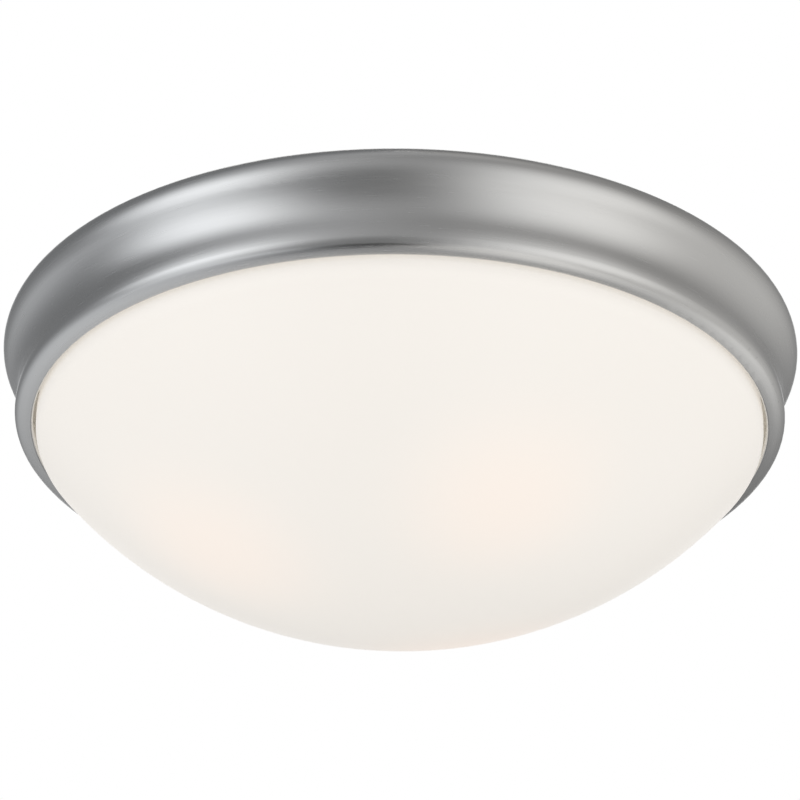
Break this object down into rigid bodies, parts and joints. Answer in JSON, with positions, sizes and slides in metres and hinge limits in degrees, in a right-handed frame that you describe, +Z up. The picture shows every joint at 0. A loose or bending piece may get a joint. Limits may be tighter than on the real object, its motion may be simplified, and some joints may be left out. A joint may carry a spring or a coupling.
{
  "type": "flush mount ceiling light",
  "caption": "Round flush mount ceiling light: satin nickel rim with bullnose, cove and bead around an opal glass dome, lamps inside on porcelain lampholders.",
  "frame": {"origin": "centre of the face that lies against the ceiling, midway between the ceiling box screw slots", "axes": "+Z up into the ceiling, +X along the mounting crossbar; the light hangs towards -Z"},
  "size_m": [0.381, 0.381, 0.141],
  "materials": {
    "satin_nickel": "satin brushed nickel plate on spun steel, white enamel inside",
    "opal_glass": "satin opal white",
    "frosted_bulb_glass": "frosted white",
    "lamp_cap_aluminium": "drawn, bright",
    "black_cap_glass": "gloss black",
    "tinned_solder": "dull tinned",
    "glazed_porcelain": "white glaze",
    "nickel_plated_brass": "bright nickel plate",
    "spring_bronze": "rolled",
    "spring_steel": "rolled, bright",
    "zinc_plated_steel": "bright zinc plate",
    "aluminium": "as headed",
    "green_screw": "green dyed zinc",
    "mineral_wool": "glass wool",
    "black_nylon": "moulded",
    "white_nylon": "moulded",
    "brass": "machined",
    "black_lead": "extruded sleeve",
    "white_lead": "extruded sleeve"
  },
  "bodies": {
    "pan": {"bracket_rivets": "aluminium", "catch_rivets": "aluminium", "centre_contact_1": "spring_bronze", "centre_contact_2": "spring_bronze", "centre_contact_3": "spring_bronze", "glass_catch_1": "spring_steel", "glass_catch_2": "spring_steel", "glass_catch_3": "spring_steel", "ground_screw": "green_screw", "insulation_pad": "mineral_wool", "lampholder_body_1": "glazed_porcelain", "lampholder_body_2": "glazed_porcelain", "lampholder_body_3": "glazed_porcelain", "lampholder_bracket_1": "zinc_plated_steel", "lampholder_bracket_2": "zinc_plated_steel", "lampholder_bracket_3": "zinc_plated_steel", "lampholder_screws": "zinc_plated_steel", "lead_clips": "white_nylon", "live_lead_1": "black_lead", "live_lead_2": "black_lead", "live_lead_3": "black_lead", "mounting_crossbar": "zinc_plated_steel", "mounting_screws": "zinc_plated_steel", "neutral_lead_1": "white_lead", "neutral_lead_2": "white_lead", "neutral_lead_3": "white_lead", "pan": "satin_nickel", "screw_shell_1": "nickel_plated_brass", "screw_shell_2": "nickel_plated_brass", "screw_shell_3": "nickel_plated_brass", "terminal_block": "white_nylon", "terminal_cages": "brass", "terminal_fixing_screw": "zinc_plated_steel", "terminal_screws": "zinc_plated_steel", "wire_bushing": "black_nylon"},
    "glass": {"glass_dome": "opal_glass"},
    "lamp_1": {"lamp_cap_1": "lamp_cap_aluminium", "lamp_contact_1": "tinned_solder", "lamp_globe_1": "frosted_bulb_glass", "lamp_insulator_1": "black_cap_glass"},
    "lamp_2": {"lamp_cap_2": "lamp_cap_aluminium", "lamp_contact_2": "tinned_solder", "lamp_globe_2": "frosted_bulb_glass", "lamp_insulator_2": "black_cap_glass"},
    "lamp_3": {"lamp_cap_3": "lamp_cap_aluminium", "lamp_contact_3": "tinned_solder", "lamp_globe_3": "frosted_bulb_glass", "lamp_insulator_3": "black_cap_glass"}
  },
  "joints": [
    {"name": "glass_drop", "type": "slide", "parent": "pan", "child": "glass", "axis": [0, 0, -1], "range_m": [0, 0.12], "deforming": ["glass_catch_1", "glass_catch_2", "glass_catch_3"]},
    {"name": "lamp_1_out", "type": "slide", "parent": "pan", "child": "lamp_1", "axis": [-0.0576, -0.9983, 0], "range_m": [0, 0.028]},
    {"name": "lamp_2_out", "type": "slide", "parent": "pan", "child": "lamp_2", "axis": [0.8934, 0.4493, 0], "range_m": [0, 0.028]},
    {"name": "lamp_3_out", "type": "slide", "parent": "pan", "child": "lamp_3", "axis": [-0.8358, 0.549, 0], "range_m": [0, 0.028]}
  ]
}
